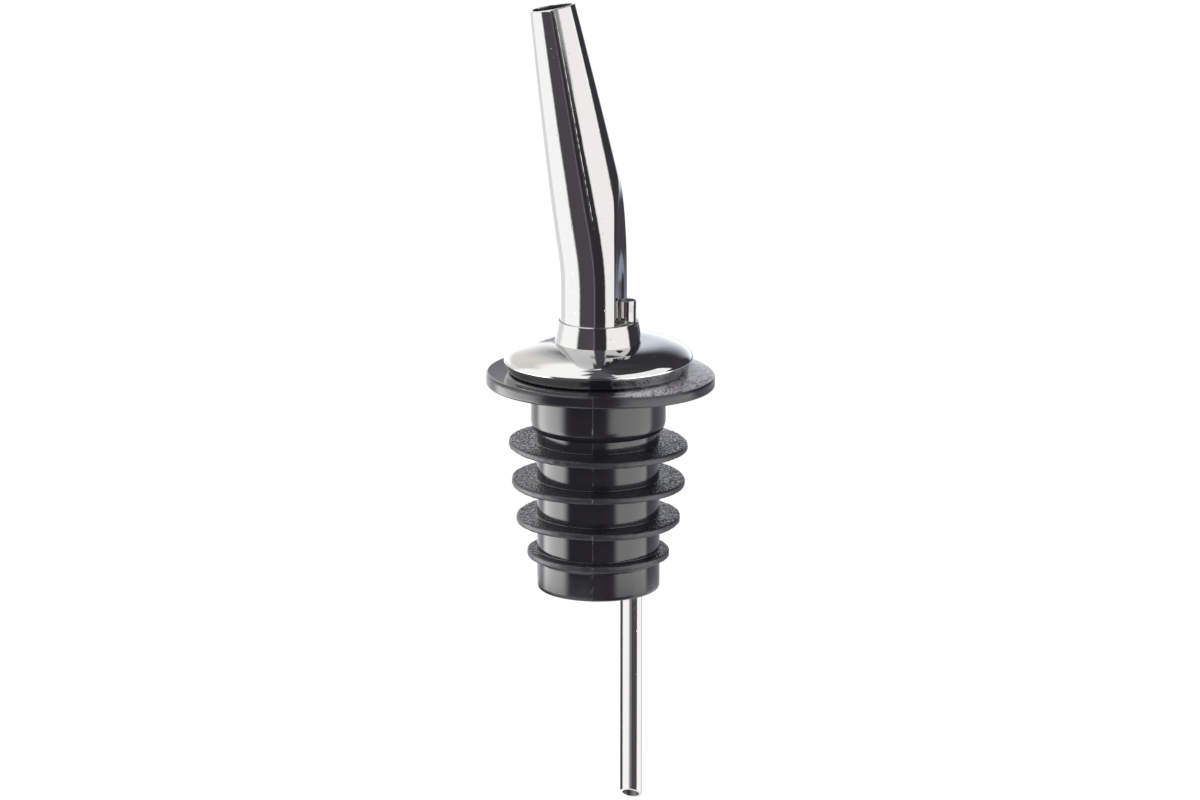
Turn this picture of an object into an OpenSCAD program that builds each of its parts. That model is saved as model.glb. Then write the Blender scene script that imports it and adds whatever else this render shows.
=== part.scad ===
// Free-flow bottle pourer: a bent chrome spout with a breather tube, on a finned plastic stopper.
// Origin: on the stopper's axis, at the underside of its flange, where the bottle's lip rests.
// +Z points out of the bottle. The spout leans towards -X and the breather tube stands at +X.

/* [Stopper] */
// Diameter of the flange that rests on the bottle's lip
flange_d = 32; // [30:0.1:36]
// Thickness of the flange
flange_t = 1.75; // [1.4:0.05:2.5]
// Rounding of the flange's two edges
flange_round = 0.35; // [0.1:0.05:0.5]
// Diameter of the thick neck under the flange
neck_d = 18.9; // [18.2:0.1:20]
// Length of the neck, down to its shoulder
neck_h = 6.6; // [5:0.1:6.8]
// Height of the rounding at the neck's shoulder
neck_round = 1.5; // [0.5:0.1:2]
// Diameter of the straight body that carries the fins
body_d = 17.3; // [16.6:0.1:18]
// Length of the stopper below the flange
body_h = 29.5; // [27:0.1:34]
// Rounding of the body's lower edge
body_round = 0.4; // [0.1:0.05:0.6]
// Diameter of the bore through the stopper
bore_d = 14.1; // [13.8:0.05:14.6]

/* [Fins] */
// Diameter of the first fin, counted from the flange
fin_1_d = 25.1; // [22:0.1:28]
// Diameter of the second fin
fin_2_d = 24.3; // [21:0.1:28]
// Diameter of the third fin
fin_3_d = 23; // [20:0.1:27]
// Diameter of the fourth fin
fin_4_d = 20; // [19:0.1:24]
// Depth of the first fin's rim below the flange
fin_1_z = 8.8; // [8.6:0.1:9.5]
// Depth of the second fin's rim below the flange
fin_2_z = 14.1; // [13:0.1:15.5]
// Depth of the third fin's rim below the flange
fin_3_z = 19.4; // [18.5:0.1:20.5]
// Depth of the fourth fin's rim below the flange
fin_4_z = 24.4; // [23.5:0.1:25.2]
// Thickness of a fin at its rim
fin_rim_t = 0.95; // [0.6:0.05:1.1]
// Thickness of a fin at its root
fin_root_t = 1.3; // [1.1:0.05:1.6]
// Bevel on the edges of a fin's rim
fin_edge = 0.2; // [0.05:0.01:0.25]

/* [Skirt] */
// Diameter of the domed skirt at its widest
skirt_d = 26.4; // [25:0.1:28.5]
// Height of the widest point above the flange
skirt_rim_h = 1.65; // [1.3:0.05:2.5]
// How far the rim is rolled in below its widest point
skirt_roll = 1; // [0.8:0.05:1.4]
// Rise of the dome from its widest point to its crown
dome_h = 2.6; // [2:0.05:4]
// Height of the collar above the crown
collar_h = 3; // [2.4:0.05:4]
// How far the foot of the collar flares out
flare_w = 0.6; // [0.3:0.05:1]
// Height of that flare
flare_h = 1.6; // [0.8:0.1:2.2]
// Thickness of the skirt's sheet metal
sheet_t = 0.25; // [0.2:0.01:0.4]
// Width of the lip turned in under the shank's flange
lip_w = 1.4; // [1:0.1:2]

/* [Spout] */
// Diameter of the spout's foot
spout_foot_d = 10.7; // [10:0.1:11.2]
// Diameter of the spout's tip
spout_tip_d = 6.5; // [5.6:0.1:7.6]
// Wall of the spout
spout_wall = 0.45; // [0.3:0.05:0.6]
// Lean of the spout's upper part, in degrees
spout_lean = 10.3; // [4:0.1:16]
// Height above the flange's underside where the bend starts
bend_z = 13.6; // [11:0.1:15]
// Radius of the bend, on the spout's centre line
bend_r = 40; // [30:1:70]
// Length of the taper, from the bend to the tip
taper_l = 32.5; // [24:0.1:40]
// Fullness of the taper, where 1 is a straight cone
taper_bulge = 1.25; // [1:0.05:1.5]
// Softness of the shoulders beside the flat that is pressed into the +X side
flat_round = 0.45; // [0.2:0.05:1.5]
// Depth of the groove in the flat, where the breather tube's stub lies
groove_t = 0.45; // [0.1:0.05:1]
// Half width of the groove
groove_w = 3.2; // [2:0.1:4]
// Height of the groove's full depth above the flange's underside
groove_z = 14.2; // [13:0.1:16]
// Height over which the groove runs out above that
groove_run = 4.6; // [3:0.1:6]

/* [Breather tube] */
// Diameter of the long lower run
breather_d = 3.15; // [2.6:0.05:3.2]
// Diameter of the reduced stub at the top
stub_d = 2.5; // [2.2:0.05:2.9]
// Wall of the tube
breather_wall = 0.38; // [0.25:0.01:0.45]
// Height of the stub's top above the flange's underside
stub_z = 12; // [10.5:0.1:13]
// Depth of the tube's lower tip below the flange
breather_depth = 61.1; // [45:0.1:90]
// Angle of the slanting cut at the lower end
cut_angle = 28; // [0:1:45]
// Direction that the slanting cut faces, in degrees round the tube from +X
cut_turn = -75; // [-180:5:180]
// Height where the tube starts to step in under the collar
step_z = 0.5; // [-1:0.1:1.5]

/* [Shank and joints] */
// Wall of the shank
shank_wall = 0.3; // [0.2:0.02:0.32]
// Thickness of the shank's flange
shank_flange_t = 0.35; // [0.25:0.05:0.5]
// Depth of the shank's lower end below the flange
shank_depth = 23; // [15:0.5:26]
// Radial clearance of the shank in the stopper's bore
shank_fit = 0.05; // [0.02:0.01:0.08]
// Clearance between pieces that turn on one another
turn_gap = 0.05; // [0.03:0.01:0.1]
// Room for the breather tube as it turns inside the shank
swing_gap = 0.4; // [0.2:0.01:0.6]
// Solder gap between soldered pieces
solder_gap = 0.04; // [0.02:0.01:0.08]
// Depth of the solder's top below the collar's rim
solder_drop = 0.15; // [0.1:0.05:1]
// Height of the solder
solder_h = 1.5; // [1:0.05:1.8]

/* [Hidden] */
$fn = 96;

// A length that carries a cut cleanly past the face it starts from
past = 5;
// Steps of an arc in a turned profile
arc_steps = 12;
// Steps of the collar's flare
flare_steps = 6;

flange_r = flange_d / 2;
neck_r = neck_d / 2;
body_r = body_d / 2;
bore_r = bore_d / 2;

seat_z = flange_t + turn_gap;
rim_z = flange_t + skirt_rim_h;
crown_z = rim_z + dome_h;
collar_top_z = crown_z + collar_h;
skirt_r = skirt_d / 2;
spout_foot_r = spout_foot_d / 2;
collar_bore_r = spout_foot_r + solder_gap;
collar_r = collar_bore_r + sheet_t;
flare_foot_r = collar_r + flare_w;
lip_r = skirt_r - skirt_roll - lip_w;

shank_r = bore_r - shank_fit;
shank_bore_r = shank_r - shank_wall;
shank_flange_r = skirt_r - skirt_roll - turn_gap;
shank_flange_z = seat_z + sheet_t + turn_gap;

breather_r = breather_d / 2;
stub_r = stub_d / 2;
breather_x = shank_bore_r - swing_gap - breather_r;
stub_x = collar_bore_r - solder_gap - stub_r;
stub_foot_z = crown_z - 2 * sheet_t;

groove_x = stub_x - stub_r - solder_gap;
spout_foot_z = crown_z;
upright_l = bend_z - spout_foot_z;
bend_l = bend_r * spout_lean * PI / 180;
cut_z = -breather_depth + breather_r * tan(cut_angle);

// Facets round each tube, and the places along it where its rings of points lie
spout_sides = 40;
breather_sides = 24;
bend_rings = 12;
taper_rings = 6;
step_rings = 8;
spout_stations = concat(
    [0],
    [for (i = [0 : bend_rings]) upright_l + bend_l * i / bend_rings],
    [for (i = [1 : taper_rings]) upright_l + bend_l + taper_l * i / taper_rings]
);
breather_stations = concat(
    [cut_z],
    [for (i = [0 : step_rings]) step_z + (stub_foot_z - step_z) * i / step_rings],
    [stub_z]
);

// Points of an elliptical arc about [cx, cz], from angle a to angle b; first = 1 leaves a shared start out
function arc(cx, cz, rx, rz, a, b, first = 0) = [
    for (i = [first : arc_steps])
        let (t = a + (b - a) * i / arc_steps)
        [cx + rx * cos(t), cz + rz * sin(t)]
];

// Outline of one fin, from the underside of its root to the top of its root
function fin(d, depth) = [
    [body_r, -depth + fin_rim_t / 2 - fin_root_t],
    [d / 2 - fin_edge, -depth - fin_rim_t / 2],
    [d / 2, -depth - fin_rim_t / 2 + fin_edge],
    [d / 2, -depth + fin_rim_t / 2 - fin_edge],
    [d / 2 - fin_edge, -depth + fin_rim_t / 2],
    [body_r, -depth + fin_rim_t / 2]
];

// The half profile of the stopper: up the outside and back down the bore
function stopper_profile() = concat(
    [[bore_r, -body_h]],
    arc(body_r - body_round, -body_h + body_round, body_round, body_round, -90, 0),
    fin(fin_4_d, fin_4_z),
    fin(fin_3_d, fin_3_z),
    fin(fin_2_d, fin_2_z),
    fin(fin_1_d, fin_1_z),
    arc(body_r, -neck_h + neck_round, neck_r - body_r, neck_round, -90, 0),
    [[neck_r, 0]],
    arc(flange_r - flange_round, flange_round, flange_round, flange_round, -90, 0),
    arc(flange_r - flange_round, flange_t - flange_round, flange_round, flange_round, 0, 90),
    [[bore_r, flange_t]]
);

// A point of the collar's flare, where t goes from 0 at the crown to 1 at the straight part of radius r
function flare_at(r, t) = [r + flare_w * pow(1 - t, 2), crown_z + flare_h * t];

// The half profile of the skirt: outside from the lip to the collar's rim, and back inside the sheet
function skirt_profile() = concat(
    [[lip_r, seat_z]],
    arc(skirt_r - skirt_roll, rim_z, skirt_roll, rim_z - seat_z, -90, 0),
    arc(flare_foot_r, rim_z, skirt_r - flare_foot_r, dome_h, 0, 90, 1),
    [for (i = [1 : flare_steps]) flare_at(collar_r, i / flare_steps)],
    [[collar_r, collar_top_z], [collar_bore_r, collar_top_z]],
    [for (i = [flare_steps : -1 : 0]) flare_at(collar_bore_r, i / flare_steps)],
    arc(flare_foot_r, rim_z, skirt_r - flare_foot_r - sheet_t, dome_h - sheet_t, 90, 0),
    arc(skirt_r - skirt_roll, rim_z, skirt_roll - sheet_t, rim_z - seat_z - sheet_t, 0, -90, 1),
    [[lip_r, seat_z + sheet_t]]
);

// The lesser of a and b, blended over a band of width k
function soft_min(a, b, k) =
    let (h = max(k - abs(a - b), 0) / k)
    min(a, b) - h * h * k / 4;

// A smooth rise from 0 to 1 as t goes from 0 to 1
function ease(t) =
    let (c = min(max(t, 0), 1))
    c * c * (3 - 2 * c);

// The spout's lean, and the X and Z of its centre line, at a length s from its foot
function lean_at(s) = spout_lean * min(max((s - upright_l) / bend_l, 0), 1);
function centre_at(s) =
    let (lean = lean_at(s), low = min(s, upright_l), high = max(s - upright_l - bend_l, 0))
    [
        -bend_r * (1 - cos(lean)) - high * sin(lean),
        spout_foot_z + low + bend_r * sin(lean) + high * cos(lean)
    ];

// The spout's round radius at a length s from its foot
function spout_r(s) =
    spout_foot_r - (spout_foot_r - spout_tip_d / 2) * pow(max(s - upright_l - bend_l, 0) / taper_l, taper_bulge);

// How far from its centre c the flat lets the spout reach towards +X, at a distance v to the side
function flat_limit(c, v) =
    let (
        across = max(1 - pow(v / groove_w, 2), 0),
        along = 1 - ease((c[1] - groove_z) / groove_run)
    )
    groove_x + groove_t * (1 - across * along) - c[0];

// One ring of points round the spout, drawn in by the wall for its inside
function spout_ring(s, wall) =
    let (c = centre_at(s), lean = lean_at(s), r = spout_r(s) - wall)
    [
        for (j = [0 : spout_sides - 1])
            let (
                turn = 360 * j / spout_sides,
                v = r * sin(turn),
                u = soft_min(r * cos(turn), flat_limit(c, v) - wall, flat_round)
            )
            [c[0] + u * cos(lean), v, c[1] + u * sin(lean)]
    ];

// One ring of points round the breather tube; the lowest ring lies in the slanting cut
function breather_ring(z, wall) =
    let (
        step = ease((z - step_z) / (stub_foot_z - step_z)),
        x = breather_x + (stub_x - breather_x) * step,
        r = breather_r + (stub_r - breather_r) * step - wall
    )
    [
        for (j = [0 : breather_sides - 1])
            let (
                turn = 360 * j / breather_sides,
                slant = z == cut_z ? r * cos(turn - cut_turn) * tan(cut_angle) : 0
            )
            [x + r * cos(turn), r * sin(turn), z + slant]
    ];

// A ring of revolution with a square section
module ring(inner_r, outer_r, z, h) {
    translate([0, 0, z])
        difference() {
            cylinder(r = outer_r, h = h);
            translate([0, 0, -past])
                cylinder(r = inner_r, h = h + 2 * past);
        }
}

// A closed skin over a list of rings of points, where the last ring joins the first
module skin(rings) {
    sides = len(rings[0]);
    polyhedron(
        points = [for (ring = rings) each ring],
        faces = [
            for (i = [0 : len(rings) - 1], j = [0 : sides - 1])
                let (
                    next_i = (i + 1) % len(rings),
                    next_j = (j + 1) % sides,
                    a = i * sides + j,
                    b = i * sides + next_j,
                    c = next_i * sides + next_j,
                    d = next_i * sides + j
                )
                each [[a, d, c], [a, c, b]]
        ]
    );
}

// A hollow tube: its outer rings from foot to tip, then its inner rings back to the foot
module hollow(outer, inner) {
    last = len(inner) - 1;
    skin(concat(outer, [for (i = [0 : last]) inner[last - i]]));
}

module stopper() {
    color("#2b2a2d")
        rotate_extrude()
            polygon(stopper_profile());
}

module shank() {
    color("#b9b7b2") {
        ring(shank_bore_r, shank_r, -shank_depth, shank_depth + shank_flange_z + shank_flange_t);
        ring(shank_bore_r, shank_flange_r, shank_flange_z, shank_flange_t);
    }
}

module skirt() {
    color("#d8d6d2")
        rotate_extrude()
            polygon(skirt_profile());
}

module spout() {
    color("#d8d6d2")
        hollow(
            [for (s = spout_stations) spout_ring(s, 0)],
            [for (s = spout_stations) spout_ring(s, spout_wall)]
        );
}

module breather_tube() {
    color("#d8d6d2")
        hollow(
            [for (z = breather_stations) breather_ring(z, 0)],
            [for (z = breather_stations) breather_ring(z, breather_wall)]
        );
}

module collar_solder() {
    color("#a9a8a5")
        translate([0, 0, collar_top_z - solder_drop - solder_h])
            difference() {
                cylinder(r = collar_bore_r - solder_gap / 2, h = solder_h);
                translate([groove_x + groove_t + solder_gap - 2 * spout_foot_d, -spout_foot_d, -past])
                    cube([2 * spout_foot_d, 2 * spout_foot_d, solder_h + 2 * past]);
                translate([stub_x, 0, -past])
                    cylinder(r = stub_r + solder_gap, h = solder_h + 2 * past);
            }
}

stopper();
shank();
skirt();
spout();
breather_tube();
collar_solder();
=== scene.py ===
# %% [markdown]
# # A free-flow bottle pourer, dressed for its portrait
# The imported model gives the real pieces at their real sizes, in metres. Blender adds what the eye wants:
# smooth curves, small fillets, mould marks, solder, plated metal and the light of a small studio.
# Every new piece stands exactly where the piece it replaces stood, so nothing has to be fitted afterwards.

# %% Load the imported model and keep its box
import math

import bmesh
import bpy
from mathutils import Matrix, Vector, noise


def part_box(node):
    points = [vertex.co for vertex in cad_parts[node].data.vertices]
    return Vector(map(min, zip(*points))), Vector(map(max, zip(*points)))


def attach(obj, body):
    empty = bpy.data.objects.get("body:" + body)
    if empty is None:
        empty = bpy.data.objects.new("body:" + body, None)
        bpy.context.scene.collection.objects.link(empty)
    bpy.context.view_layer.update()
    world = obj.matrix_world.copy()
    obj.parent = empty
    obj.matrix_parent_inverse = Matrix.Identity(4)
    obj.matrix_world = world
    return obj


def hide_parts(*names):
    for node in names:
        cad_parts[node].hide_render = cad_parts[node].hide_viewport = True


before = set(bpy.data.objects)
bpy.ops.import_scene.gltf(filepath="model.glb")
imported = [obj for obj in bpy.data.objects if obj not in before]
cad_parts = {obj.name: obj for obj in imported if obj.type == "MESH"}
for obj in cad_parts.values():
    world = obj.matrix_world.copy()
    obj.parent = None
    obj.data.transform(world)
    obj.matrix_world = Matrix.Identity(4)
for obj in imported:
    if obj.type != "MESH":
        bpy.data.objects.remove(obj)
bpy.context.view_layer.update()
scene = bpy.context.scene
MM = 0.001

# %% [markdown]
# ## The camera
# The photograph was taken with a long lens from a little above, so the flange and the fins show as thin
# ellipses. A long lens could be faked with an orthographic camera, but the ellipses open a little from top
# to bottom, and only a real perspective from the right distance gives that.

# %% Place the camera
PHOTO_WIDTH_PX = 1200
FOCAL_PX = 4600
SENSOR_MM = 36
CAMERA_AZIMUTH = math.radians(12)
CAMERA_ELEVATION = math.radians(13.6)
CAMERA_DISTANCE = 644 * MM
AIM = Vector((0, 0, -2.52 * MM))
AXIS_PX = 598.3
CLIP_START = 0.01

to_camera = Vector((
    math.sin(CAMERA_AZIMUTH) * math.cos(CAMERA_ELEVATION),
    -math.cos(CAMERA_AZIMUTH) * math.cos(CAMERA_ELEVATION),
    math.sin(CAMERA_ELEVATION),
))
camera_data = bpy.data.cameras.new("long_lens")
camera_data.sensor_width = SENSOR_MM
camera_data.lens = FOCAL_PX / PHOTO_WIDTH_PX * SENSOR_MM
camera_data.shift_x = (PHOTO_WIDTH_PX / 2 - AXIS_PX) / PHOTO_WIDTH_PX
camera_data.clip_start = CLIP_START
camera = bpy.data.objects.new("camera", camera_data)
scene.collection.objects.link(camera)
camera.location = AIM + to_camera * CAMERA_DISTANCE
camera.rotation_euler = to_camera.to_track_quat("Z", "Y").to_euler()
scene.camera = camera
print("lens:", round(camera_data.lens, 1), "mm")

# %% [markdown]
# ## Turning and skinning
# Two ways of making a mesh are enough for the whole pourer. Moulded and spun pieces are an outline turned
# about the axis, as on a lathe. Bent tubes are a row of rings joined by a skin. Both are a grid of points
# that closes on itself both ways, so one function makes the faces. Points are written in millimetres.

# %% Make a closed skin over rings of points
CREASE = math.radians(35)


def skinned(name, rings, body, node):
    """A piece with a closed skin over rings of points, each ring with as many points as the next."""
    mesh = bpy.data.meshes.new(name)
    sides = len(rings[0])
    points = [Vector(point) * MM for ring in rings for point in ring]
    faces = []
    for i in range(len(rings)):
        next_i = (i + 1) % len(rings)
        for j in range(sides):
            next_j = (j + 1) % sides
            faces.append((i * sides + j, i * sides + next_j, next_i * sides + next_j, next_i * sides + j))
    mesh.from_pydata(points, [], faces)
    work = bmesh.new()
    work.from_mesh(mesh)
    bmesh.ops.recalc_face_normals(work, faces=work.faces)
    work.to_mesh(mesh)
    work.free()
    return dressed(name, mesh, body, node)


def dressed(name, mesh, body, node):
    """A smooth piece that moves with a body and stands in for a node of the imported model."""
    mesh.polygons.foreach_set("use_smooth", [True] * len(mesh.polygons))
    mesh.set_sharp_from_angle(angle=CREASE)
    piece = bpy.data.objects.new(name, mesh)
    scene.collection.objects.link(piece)
    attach(piece, body)
    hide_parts(node)
    print(name, "has", len(mesh.polygons), "faces")
    return piece


# %% Draw round outlines
def arc(centre_r, centre_z, radius_r, radius_z, start, end, steps):
    """Points along an ellipse between two angles in degrees."""
    angles = [math.radians(start + (end - start) * i / steps) for i in range(steps + 1)]
    return [(centre_r + radius_r * math.cos(a), centre_z + radius_z * math.sin(a)) for a in angles]


def rounded(corners, steps=6):
    """The points of a closed outline, where a corner is (r, z) or (r, z, radius of its rounding)."""
    points = []
    for i, corner in enumerate(corners):
        here = Vector(corner[:2])
        if len(corner) == 2:
            points.append(tuple(here))
            continue
        before = (Vector(corners[i - 1][:2]) - here).normalized()
        after = (Vector(corners[(i + 1) % len(corners)][:2]) - here).normalized()
        half = before.angle(after) / 2
        reach = corner[2] / math.tan(half)
        centre = here + (before + after).normalized() * corner[2] / math.sin(half)
        start = here + before * reach - centre
        end = here + after * reach - centre
        for k in range(steps + 1):
            points.append(tuple(centre + start.lerp(end, k / steps).normalized() * corner[2]))
    return points


def filled_in(outline, step):
    """The same closed outline with no side longer than step."""
    points = []
    for i, start in enumerate(outline):
        end = outline[(i + 1) % len(outline)]
        count = max(1, math.ceil(math.dist(start, end) / step))
        points += [tuple(Vector(start).lerp(Vector(end), k / count)) for k in range(count)]
    return points


def ease(t):
    """0 below 0 and 1 above 1, with a smooth rise between."""
    c = min(max(t, 0), 1)
    return c * c * (3 - 2 * c)


def turned(outline, angles):
    """One ring of points for each point of the outline, turned about Z."""
    return [[(r * math.cos(a), r * math.sin(a), z) for a in angles] for r, z in outline]


# %% [markdown]
# ## The stopper
# The stopper is one moulding of soft black plastic: a flange for the bottle's lip, a neck, a body and four
# thin fins that bend inside the bottle. A plain turned shape would look machined, so the moulding marks are
# modelled: small fillets at the roots of the fins, a fine raised line where the two halves of the mould met,
# and fins that are not quite flat, because they are thin and soft.

# %% Turn the stopper
stopper_low, stopper_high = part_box("stopper")
FLANGE_R = stopper_high.x / MM
FLANGE_T = stopper_high.z / MM
BODY_BOTTOM = stopper_low.z / MM
FLANGE_ROUND = 0.35
NECK_R = 9.45
NECK_BOTTOM = -6.6
NECK_ROUND = 1.5
BODY_R = 8.65
BODY_ROUND = 0.4
BORE_R = 7.05
BORE_EDGE = 0.15
FINS = [(25.1, 8.8), (24.3, 14.1), (23.0, 19.4), (20.0, 24.4)]
FIN_RIM_T = 0.95
FIN_ROOT_T = 1.3
FIN_EDGE = 0.3
ROOT_FILLET = 0.3
FIN_TOP_FILLET = 0.14
PART_PLANE_X = -0.8
PART_LINE_W = 0.055
PART_LINE_H = 0.06
PART_LINE_MM = 0.7
PART_LINE_STEPS = 30
PART_LINE_CLEAR = 0.2
PART_LINE_START = 0.15
PART_LINE_OVERRUN = 2
STOPPER_STEP = 0.3
TURN_STEPS = 240


def fin_corners(diameter, depth):
    """The corners of one fin, from its lower root round its rim to its upper root."""
    top = -depth + FIN_RIM_T / 2
    return [
        (BODY_R, top - FIN_ROOT_T, ROOT_FILLET),
        (diameter / 2, top - FIN_RIM_T, FIN_EDGE),
        (diameter / 2, top, FIN_EDGE),
        (BODY_R, top, FIN_TOP_FILLET),
    ]


stopper_corners = [(BORE_R, BODY_BOTTOM, BORE_EDGE), (BODY_R, BODY_BOTTOM, BODY_ROUND)]
for fin_d, fin_depth in reversed(FINS):
    stopper_corners += fin_corners(fin_d, fin_depth)
stopper_corners += arc(BODY_R, NECK_BOTTOM + NECK_ROUND, NECK_R - BODY_R, NECK_ROUND, -90, 0, steps=10)
stopper_corners += [
    (NECK_R, 0, ROOT_FILLET),
    (FLANGE_R, 0, FLANGE_ROUND),
    (FLANGE_R, FLANGE_T, FLANGE_ROUND),
    (BORE_R, FLANGE_T, BORE_EDGE),
]
even_angles = [2 * math.pi * k / TURN_STEPS for k in range(TURN_STEPS)]


def off_part_plane(angle, r):
    """How far a point is from the plane where the two halves of the mould met."""
    return abs(r * math.cos(angle - CAMERA_AZIMUTH) - PART_PLANE_X)


# Even steps all round, with finer ones in place of those that fall near the line
turn_angles = [
    a for a in even_angles
    if min(off_part_plane(a, BODY_R), off_part_plane(a, FLANGE_R)) > PART_LINE_CLEAR
]
for side in (1, -1):
    near = side * math.acos(PART_PLANE_X / (BODY_R - PART_LINE_START))
    far = side * math.acos(PART_PLANE_X / (FLANGE_R + PART_LINE_OVERRUN))
    for k in range(PART_LINE_STEPS + 1):
        turn_angles.append(CAMERA_AZIMUTH + near + (far - near) * k / PART_LINE_STEPS)
turn_angles.sort(key=lambda a: a % (2 * math.pi))
stopper_rings = turned(filled_in(rounded(stopper_corners), STOPPER_STEP), turn_angles)
print("stopper outline:", len(stopper_rings), "points")

# %% [markdown]
# The soft fins and the flange's edge have sagged a little to one side, each in its own way. The move grows
# from nothing at the root to its full size at the rim, so the fins stay joined to the body. Their rims were
# torn from the mould by hand and are a little ragged.

# %% Add the part line and let the fins sag
SAG_SIDE = CAMERA_AZIMUTH
FIN_SAGS = [0.28, 0.1, 0.06, 0.04]
FIN_WAVE = 0.07
FIN_WAVE_LOBES = 3
FIN_WAVE_TURN = 2
FIN_BEND_POWER = 1.5
FIN_GRAIN = 0.06
FIN_GRAIN_MM = 0.4
FIN_GRAIN_RISE = 4
RAG = 0.07
RAG_MM = 1.1
RAG_POWER = 4
RIDGE_LEAST = 0.4
RIDGE_VARY = 1.5
FLANGE_SAG = 0.5
FLANGE_SHIFT = 0.3
FLANGE_FIXED_R = 13.4


def moulded(point):
    """Where a point of the perfect turned shape lies on the real moulding."""
    x, y, z = point
    r = math.hypot(x, y)
    angle = math.atan2(y, x)
    side = math.cos(angle - SAG_SIDE)
    ridge = 0
    if r > BODY_R - BODY_ROUND:
        ridge = PART_LINE_H * math.exp(-(off_part_plane(angle, r) / PART_LINE_W) ** 2)
        ridge *= RIDGE_LEAST + RIDGE_VARY * max(noise.noise((r / PART_LINE_MM, 0, z / PART_LINE_MM)), 0)
    drop = 0
    for k, (diameter, depth) in enumerate(FINS):
        if abs(z + depth) < FIN_ROOT_T and r > BODY_R:
            out = min((r - BODY_R) / (diameter / 2 - BODY_R), 1) ** FIN_BEND_POWER
            wave = math.sin(FIN_WAVE_LOBES * angle + FIN_WAVE_TURN * k)
            drop += out * (FIN_SAGS[k] * side + FIN_WAVE * wave)
            drop += FIN_GRAIN * min(FIN_GRAIN_RISE * out, 1) * noise.noise(Vector(point) / FIN_GRAIN_MM)
            r += RAG * out ** RAG_POWER * noise.noise(Vector(point) / RAG_MM)
    if z > -ROOT_FILLET and r > FLANGE_FIXED_R:
        out = ((r - FLANGE_FIXED_R) / (FLANGE_R - FLANGE_FIXED_R)) ** 2
        drop += FLANGE_SAG * max(side, 0) * out
        r += FLANGE_SHIFT * side * out
    return ((r + ridge) * math.cos(angle), (r + ridge) * math.sin(angle), z - drop)


stopper_rings = [[moulded(point) for point in ring] for ring in stopper_rings]
stopper = skinned("stopper_moulding", stopper_rings, "stopper", "stopper")

# %% [markdown]
# ## The shank
# A thin drawn sleeve carries the metal head in the stopper's bore. It hides in use, but shows when the head
# is pulled out for washing, so it gets a true rolled flange and soft edges.

# %% Turn the shank
SHANK_R = 7.0
SHANK_BORE_R = 6.7
SHANK_FLANGE_R = 12.15
SHANK_FLANGE_Z = 2.1
SHANK_END_ROUND = 0.1
SHANK_ROOT_ROUND = 0.05
SHANK_FLANGE_ROUND = 0.15
SHANK_STEP = 1.5
shank_low, shank_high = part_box("shank")
shank_corners = [
    (SHANK_BORE_R, shank_low.z / MM, SHANK_END_ROUND),
    (SHANK_R, shank_low.z / MM, SHANK_END_ROUND),
    (SHANK_R, SHANK_FLANGE_Z, SHANK_ROOT_ROUND),
    (SHANK_FLANGE_R, SHANK_FLANGE_Z, SHANK_FLANGE_ROUND),
    (SHANK_FLANGE_R, shank_high.z / MM, SHANK_FLANGE_ROUND),
    (SHANK_BORE_R, shank_high.z / MM, SHANK_FLANGE_ROUND),
]
shank_rings = turned(filled_in(rounded(shank_corners), SHANK_STEP), even_angles)
shank = skinned("shank_sleeve", shank_rings, "shank", "shank")

# %% [markdown]
# ## The skirt
# The skirt is spun from thin sheet: a low dome with a short conical collar drawn up round the spout's foot,
# and a rim folded under the shank's flange. A quarter ellipse gives the dome its full, slightly flattened
# crown. Thin metal is never quite true, so the dome leans, the collar wavers, and a punch left two small
# marks in front of it.

# %% Turn the skirt
SHEET_T = 0.25
SKIRT_FOLD = 0.35
RIM_SLANT = math.radians(22)
RIM_Z = 3.45
DOME_H = 2.55
FLARE_W = 0.45
FLARE_H = 2.5
FLARE_STEPS = 12
COLLAR_BORE_R = 5.39
COLLAR_EDGE = 0.08
COLLAR_STRAIGHT = 0.5
LIP_R = 10.8
SKIRT_STEP = 0.6
skirt_low, skirt_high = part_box("skirt")
SKIRT_R = skirt_high.x / MM
SEAT_Z = skirt_low.z / MM
COLLAR_TOP = skirt_high.z / MM
CROWN_Z = RIM_Z + DOME_H
collar_r = COLLAR_BORE_R + SHEET_T
flare_foot_r = collar_r + FLARE_W
fold_z = SEAT_Z + SKIRT_FOLD
fold_r = SKIRT_R - SKIRT_FOLD - (RIM_Z - fold_z) * math.tan(RIM_SLANT)


def flare(straight_r):
    """The conical part of the collar, from the dome's crown up to the straight part."""
    rises = [i / FLARE_STEPS for i in range(FLARE_STEPS + 1)]
    return [(straight_r + FLARE_W * (1 - t), CROWN_Z + FLARE_H * t) for t in rises]


collar_edge = rounded([
    (collar_r, COLLAR_TOP - COLLAR_STRAIGHT),
    (collar_r, COLLAR_TOP, COLLAR_EDGE),
    (COLLAR_BORE_R, COLLAR_TOP, COLLAR_EDGE),
    (COLLAR_BORE_R, COLLAR_TOP - COLLAR_STRAIGHT),
])
dome_w = SKIRT_R - flare_foot_r
inner_fold = SKIRT_FOLD - SHEET_T
skirt_outline = (
    [(LIP_R, SEAT_Z)]
    + arc(fold_r, fold_z, SKIRT_FOLD, SKIRT_FOLD, -90, 0, steps=8)
    + arc(flare_foot_r, RIM_Z, dome_w, DOME_H, 0, 90, steps=48)
    + flare(collar_r)[1:]
    + collar_edge
    + flare(COLLAR_BORE_R)[::-1]
    + arc(flare_foot_r, RIM_Z, dome_w - SHEET_T, DOME_H - SHEET_T, 90, 0, steps=24)
    + arc(fold_r, fold_z, inner_fold, inner_fold, 0, -90, steps=4)
    + [(LIP_R, SEAT_Z + SHEET_T)]
)
print("skirt outline:", len(skirt_outline), "points")

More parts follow.
